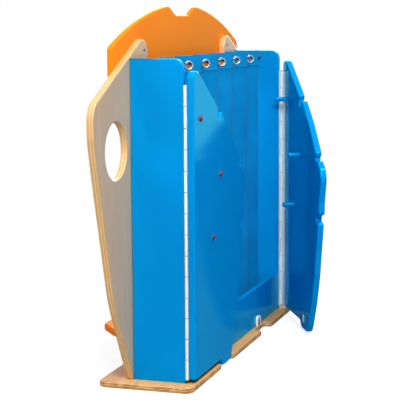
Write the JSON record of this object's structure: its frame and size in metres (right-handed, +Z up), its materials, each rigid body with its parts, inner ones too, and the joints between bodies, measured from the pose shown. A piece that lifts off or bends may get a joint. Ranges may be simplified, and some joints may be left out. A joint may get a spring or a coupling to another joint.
{
  "type": "puppet theater stand",
  "caption": "Tabletop puppet theater: plywood cabinet with two hinged scalloped doors, pleated curtain on a rod, wing panels with round holes, arched crown and rear shelf.",
  "frame": {"origin": "middle of the base plate's underside, on the table", "axes": "+X from the audience's left to its right, -Y towards the audience, +Z up"},
  "size_m": [1.13, 0.3666, 0.7667],
  "materials": {
    "blue_lacquer": "glossy blue lacquer",
    "orange_lacquer": "satin orange lacquer",
    "birch_plywood": "clear-coated birch plywood",
    "blue_satin": "plain woven blue cloth",
    "nickel": "nickel plate",
    "chrome": "bright chrome plate",
    "zinc": "dull zinc plate",
    "red_enamel": "glossy red",
    "white_plastic": "white moulded plastic",
    "black_magnet": "sintered magnet"
  },
  "bodies": {
    "cabinet": {"base_plate": "birch_plywood", "front_apron": "blue_lacquer", "crown_board": "orange_lacquer", "rear_shelf": "orange_lacquer", "curtain": "blue_satin", "curtain_rod": "nickel", "curtain_eyelet_1": "chrome", "curtain_eyelet_2": "chrome", "curtain_eyelet_3": "chrome", "curtain_eyelet_4": "chrome", "curtain_eyelet_5": "chrome", "curtain_eyelet_6": "chrome", "curtain_eyelet_7": "chrome", "curtain_eyelet_8": "chrome", "curtain_eyelet_9": "chrome", "curtain_eyelet_10": "chrome", "curtain_eyelet_11": "chrome", "left_side_wall": "blue_lacquer", "right_side_wall": "blue_lacquer", "left_wing_panel": "birch_plywood", "right_wing_panel": "birch_plywood", "left_ear_screw": "zinc", "right_ear_screw": "zinc", "left_inner_screw": "zinc", "right_inner_screw": "zinc", "left_shelf_cleat": "birch_plywood", "right_shelf_cleat": "birch_plywood", "left_rod_socket": "nickel", "right_rod_socket": "nickel", "left_hinge_wall_leaf": "nickel", "right_hinge_wall_leaf": "nickel", "left_hinge_pin": "nickel", "right_hinge_pin": "nickel", "left_catch_housing": "white_plastic", "right_catch_housing": "white_plastic", "left_catch_magnet": "black_magnet", "right_catch_magnet": "black_magnet"},
    "left_door": {"left_door_panel": "blue_lacquer", "left_hinge_door_leaf": "nickel", "left_upper_peg": "blue_lacquer", "left_middle_peg": "blue_lacquer", "left_lower_peg": "blue_lacquer", "left_upper_cap": "red_enamel", "left_middle_cap": "red_enamel", "left_lower_cap": "red_enamel", "left_strike_plate": "nickel"},
    "right_door": {"right_door_panel": "blue_lacquer", "right_hinge_door_leaf": "nickel", "right_upper_peg": "blue_lacquer", "right_middle_peg": "blue_lacquer", "right_lower_peg": "blue_lacquer", "right_upper_cap": "red_enamel", "right_middle_cap": "red_enamel", "right_lower_cap": "red_enamel", "right_strike_plate": "nickel"}
  },
  "joints": [
    {"name": "left_door_swing", "type": "hinge", "parent": "cabinet", "child": "left_door", "pos_m": [-0.376, -0.0803, 0.315], "axis": [0, 0, -1], "range_deg": [0, 180]},
    {"name": "right_door_swing", "type": "hinge", "parent": "cabinet", "child": "right_door", "pos_m": [0.376, -0.0803, 0.315], "axis": [0, 0, 1], "range_deg": [-28, 152]}
  ]
}
